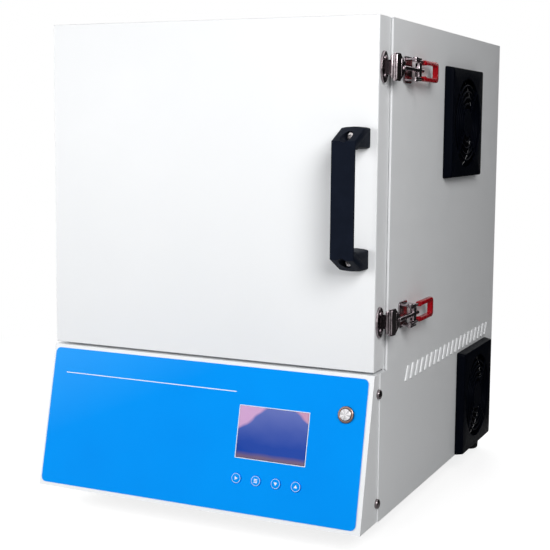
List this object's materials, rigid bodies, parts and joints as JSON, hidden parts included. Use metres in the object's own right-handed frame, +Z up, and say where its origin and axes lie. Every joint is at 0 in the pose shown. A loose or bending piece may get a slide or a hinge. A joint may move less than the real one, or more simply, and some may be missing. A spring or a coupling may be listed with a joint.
{
  "type": "vacuum heat treatment furnace",
  "caption": "Bench vacuum furnace: box case on feet, hinged front door with bridge handle and two toggle latches, sloping control panel, side fan guards",
  "frame": {"origin": "on the floor, under the middle of the bounding box, level with the soles of the feet", "axes": "+X to the right as seen from the front, +Y to the back (the door faces -Y), +Z up"},
  "size_m": [0.432, 0.545, 0.5592],
  "materials": {
    "case_paint": "satin powder coat, near white",
    "zinc_sheet": "plain zinc-plated sheet",
    "stainless": "fine brushed stainless steel",
    "chrome_plate": "bright chrome plate",
    "button_steel": "turned stainless steel",
    "overlay_film": "satin polycarbonate film, blue",
    "display_glass": "glossy lens over an unlit indigo display",
    "black_plastic": "fine-grained black nylon",
    "black_rubber": "matt black rubber",
    "red_dip": "glossy red dipped vinyl",
    "seal_rubber": "silicone rubber",
    "fibre_board": "pressed ceramic fibre, soft and matt",
    "fired_ceramic": "matt fired ceramic",
    "heating_alloy": "oxidised resistance alloy",
    "circuit_board": "green solder mask",
    "coil_iron": "lacquered laminations"
  },
  "bodies": {
    "case": {"base_tray": "case_paint", "left_side_panel": "case_paint", "right_side_panel": "case_paint", "top_cover": "case_paint", "rear_panel": "case_paint", "front_frame": "case_paint", "mid_shelf": "zinc_sheet", "front_left_foot": "black_rubber", "front_right_foot": "black_rubber", "rear_left_foot": "black_rubber", "rear_right_foot": "black_rubber", "control_panel": "case_paint", "panel_overlay": "overlay_film", "display_window": "display_glass", "display_module": "black_plastic", "control_board": "circuit_board", "power_button_body": "chrome_plate", "vacuum_chamber": "stainless", "door_seal": "seal_rubber", "insulation_liner": "fibre_board", "left_heater": "heating_alloy", "right_heater": "heating_alloy", "hearth_plate": "fired_ceramic", "thermocouple": "fired_ceramic", "vacuum_port": "stainless", "transformer": "coil_iron", "power_regulator": "zinc_sheet", "mains_inlet": "black_plastic", "upper_fan_guard": "black_plastic", "lower_fan_guard": "black_plastic", "upper_fan_frame": "black_plastic", "lower_fan_frame": "black_plastic", "upper_hinge_case_leaf": "stainless", "lower_hinge_case_leaf": "stainless", "upper_hinge_pin": "stainless", "lower_hinge_pin": "stainless", "upper_latch_bracket": "chrome_plate", "lower_latch_bracket": "chrome_plate"},
    "door": {"door_shell": "case_paint", "door_inner_plate": "stainless", "door_insulation": "fibre_board", "door_plug": "fibre_board", "door_handle": "black_plastic", "upper_hinge_door_leaf": "stainless", "lower_hinge_door_leaf": "stainless", "upper_keeper": "chrome_plate", "lower_keeper": "chrome_plate"},
    "upper_lever": {"upper_latch_lever": "chrome_plate", "upper_lever_grip": "red_dip"},
    "upper_hook": {"upper_latch_hook": "chrome_plate"},
    "upper_rotor": {"upper_fan_rotor": "black_plastic"},
    "lower_lever": {"lower_latch_lever": "chrome_plate", "lower_lever_grip": "red_dip"},
    "lower_hook": {"lower_latch_hook": "chrome_plate"},
    "lower_rotor": {"lower_fan_rotor": "black_plastic"},
    "power_button": {"power_button_cap": "button_steel"},
    "start_key": {"start_key": "overlay_film"},
    "set_key": {"set_key": "overlay_film"},
    "down_key": {"down_key": "overlay_film"},
    "up_key": {"up_key": "overlay_film"}
  },
  "joints": [
    {"name": "door_hinge", "type": "hinge", "parent": "case", "child": "door", "pos_m": [-0.21105, -0.19655, 0.37465], "axis": [0, 0, -1], "range_deg": [0, 110]},
    {"name": "upper_lever_hinge", "type": "hinge", "parent": "case", "child": "upper_lever", "pos_m": [0.21245, -0.1585, 0.50715], "axis": [0, 0, -1], "range_deg": [0, 100]},
    {"name": "upper_hook_hinge", "type": "hinge", "parent": "upper_lever", "child": "upper_hook", "pos_m": [0.21145, -0.1445, 0.50715], "axis": [0, 0, -1], "range_deg": [-150, 0]},
    {"name": "lower_lever_hinge", "type": "hinge", "parent": "case", "child": "lower_lever", "pos_m": [0.21245, -0.1585, 0.24215], "axis": [0, 0, -1], "range_deg": [0, 100]},
    {"name": "lower_hook_hinge", "type": "hinge", "parent": "lower_lever", "child": "lower_hook", "pos_m": [0.21145, -0.1445, 0.24215], "axis": [0, 0, -1], "range_deg": [-150, 0]},
    {"name": "power_button_press", "type": "slide", "parent": "case", "child": "power_button", "axis": [0, 0.9762, -0.2167], "range_m": [0, 0.002], "stiffness_N_per_m": 600},
    {"name": "start_key_press", "type": "slide", "parent": "case", "child": "start_key", "axis": [0, 0.9762, -0.2167], "range_m": [0, 0.0005], "stiffness_N_per_m": 1500},
    {"name": "set_key_press", "type": "slide", "parent": "case", "child": "set_key", "axis": [0, 0.9762, -0.2167], "range_m": [0, 0.0005], "stiffness_N_per_m": 1500},
    {"name": "down_key_press", "type": "slide", "parent": "case", "child": "down_key", "axis": [0, 0.9762, -0.2167], "range_m": [0, 0.0005], "stiffness_N_per_m": 1500},
    {"name": "up_key_press", "type": "slide", "parent": "case", "child": "up_key", "axis": [0, 0.9762, -0.2167], "range_m": [0, 0.0005], "stiffness_N_per_m": 1500},
    {"name": "upper_fan_spin", "type": "hinge", "parent": "case", "child": "upper_rotor", "pos_m": [0.17375, 0.055, 0.4523], "axis": [1, 0, 0], "continuous": true},
    {"name": "lower_fan_spin", "type": "hinge", "parent": "case", "child": "lower_rotor", "pos_m": [0.17375, 0.1358, 0.0931], "axis": [1, 0, 0], "continuous": true}
  ],
  "couplings": [
    {"joint": "upper_hook_hinge", "follows": "upper_lever_hinge", "ratio": -1.5},
    {"joint": "lower_hook_hinge", "follows": "lower_lever_hinge", "ratio": -1.5}
  ]
}
